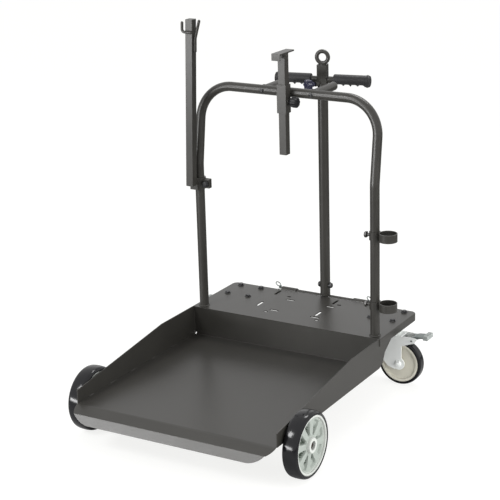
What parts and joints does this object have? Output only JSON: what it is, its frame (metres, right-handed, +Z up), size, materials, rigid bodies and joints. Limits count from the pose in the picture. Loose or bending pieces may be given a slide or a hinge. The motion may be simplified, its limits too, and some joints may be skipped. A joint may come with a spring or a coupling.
{
  "type": "drum cart",
  "caption": "Steel drum cart with a folded tray, slotted rear deck on braked swivel casters, tubular hoop with rim clamp, hose mast and folding tow bar with T-handle and eye.",
  "frame": {"origin": "on the ground, at the middle of the cart's bounding box seen from above", "axes": "+X to the right seen from the tray end, +Y from the tray lip back to the tow bar, +Z up"},
  "size_m": [0.848, 1.0426, 1.19],
  "materials": {
    "frame_paint": "semi-gloss powder coat",
    "zinc": "bright zinc plating",
    "tread_rubber": "satin",
    "hub_plastic": "satin grey-green",
    "disc_plastic": "satin warm grey",
    "grip_rubber": "matt",
    "black_knob": "satin",
    "blue_knob": "satin blue-black",
    "pad_plastic": "light grey",
    "dark_screw": "blackened"
  },
  "bodies": {
    "frame": {"floor_pan": "frame_paint", "side_wall_left": "frame_paint", "side_wall_right": "frame_paint", "deck_plate": "frame_paint", "caster_pad_left": "frame_paint", "caster_pad_right": "frame_paint", "axle_bracket_left": "frame_paint", "axle_bracket_right": "frame_paint", "front_axle": "zinc", "axle_washers": "zinc", "axle_clips": "zinc", "caster_plate_left": "zinc", "caster_plate_right": "zinc", "caster_bolts": "dark_screw", "caster_nuts": "zinc", "hoop_frame": "frame_paint", "hose_peg_left": "frame_paint", "hose_peg_right": "frame_paint", "peg_bolts": "dark_screw", "clamp_sleeve": "frame_paint", "hose_mast": "frame_paint", "mast_hooks": "frame_paint", "mast_clamp": "frame_paint", "gun_ring": "frame_paint", "gun_cup": "frame_paint", "ring_screws": "dark_screw", "hinge_lugs": "frame_paint", "hinge_shaft": "zinc", "lynch_pins": "zinc"},
    "front_wheel_left": {"wheel_tyre_left": "tread_rubber", "wheel_hub_left": "hub_plastic"},
    "front_wheel_right": {"wheel_tyre_right": "tread_rubber", "wheel_hub_right": "hub_plastic"},
    "caster_left": {"caster_fork_left": "zinc", "caster_axle_left": "zinc"},
    "caster_right": {"caster_fork_right": "zinc", "caster_axle_right": "zinc"},
    "caster_wheel_left": {"caster_tyre_left": "tread_rubber", "caster_disc_left": "disc_plastic"},
    "caster_wheel_right": {"caster_tyre_right": "tread_rubber", "caster_disc_right": "disc_plastic"},
    "brake_left": {"brake_pedal_left": "zinc", "pedal_pad_left": "pad_plastic"},
    "brake_right": {"brake_pedal_right": "zinc", "pedal_pad_right": "pad_plastic"},
    "rim_clamp": {"clamp_bar": "frame_paint", "rim_hook": "frame_paint"},
    "rim_clamp_knob": {"clamp_knob": "black_knob"},
    "mast_clamp_knob": {"mast_knob": "black_knob"},
    "tow_bar": {"tow_foot": "frame_paint", "tow_tube": "frame_paint", "tow_bolt": "dark_screw"},
    "tow_handle": {"tow_head": "frame_paint", "tow_eye": "frame_paint", "handlebar": "frame_paint", "grip_left": "grip_rubber", "grip_right": "grip_rubber"},
    "tow_clamp_knob": {"head_knob": "blue_knob"}
  },
  "joints": [
    {"name": "front_wheel_left_spin", "type": "hinge", "parent": "frame", "child": "front_wheel_left", "pos_m": [-0.371, -0.3553, 0.1], "axis": [1, 0, 0], "continuous": true},
    {"name": "caster_left_swivel", "type": "hinge", "parent": "frame", "child": "caster_left", "pos_m": [-0.27, 0.3897, 0.18], "axis": [0, 0, 1], "continuous": true},
    {"name": "caster_wheel_left_spin", "type": "hinge", "parent": "caster_left", "child": "caster_wheel_left", "pos_m": [-0.322, 0.3897, 0.075], "axis": [0, 1, 0], "continuous": true},
    {"name": "brake_left_press", "type": "hinge", "parent": "caster_left", "child": "brake_left", "pos_m": [-0.368, 0.3897, 0.161], "axis": [0, -1, 0], "range_deg": [0, 10]},
    {"name": "front_wheel_right_spin", "type": "hinge", "parent": "frame", "child": "front_wheel_right", "pos_m": [0.371, -0.3553, 0.1], "axis": [1, 0, 0], "continuous": true},
    {"name": "caster_right_swivel", "type": "hinge", "parent": "frame", "child": "caster_right", "pos_m": [0.27, 0.3897, 0.18], "axis": [0, 0, 1], "continuous": true},
    {"name": "caster_wheel_right_spin", "type": "hinge", "parent": "caster_right", "child": "caster_wheel_right", "pos_m": [0.322, 0.3897, 0.075], "axis": [0, 1, 0], "continuous": true},
    {"name": "brake_right_press", "type": "hinge", "parent": "caster_right", "child": "brake_right", "pos_m": [0.368, 0.3897, 0.161], "axis": [0, 1, 0], "range_deg": [0, 10]},
    {"name": "rim_clamp_slide", "type": "slide", "parent": "frame", "child": "rim_clamp", "axis": [0, 0, 1], "range_m": [-0.09, 0.09]},
    {"name": "rim_clamp_knob_turn", "type": "hinge", "parent": "frame", "child": "rim_clamp_knob", "pos_m": [0.03, 0.21313, 0.946], "axis": [1, 0, 0], "continuous": true},
    {"name": "mast_clamp_knob_turn", "type": "hinge", "parent": "frame", "child": "mast_clamp_knob", "pos_m": [-0.286, 0.1897, 0.651], "axis": [0, 1, 0], "continuous": true},
    {"name": "tow_bar_fold", "type": "hinge", "parent": "frame", "child": "tow_bar", "pos_m": [0, 0.46969, 0.221], "axis": [-1, 0, 0], "range_deg": [0, 80]},
    {"name": "tow_handle_turn", "type": "hinge", "parent": "tow_bar", "child": "tow_handle", "pos_m": [0, 0.47069, 0.94], "axis": [0, 0, 1], "range_deg": [-36, 10]},
    {"name": "tow_clamp_knob_turn", "type": "hinge", "parent": "tow_handle", "child": "tow_clamp_knob", "pos_m": [0, 0.47069, 0.956], "axis": [-0.5, -0.866, 0], "continuous": true}
  ]
}
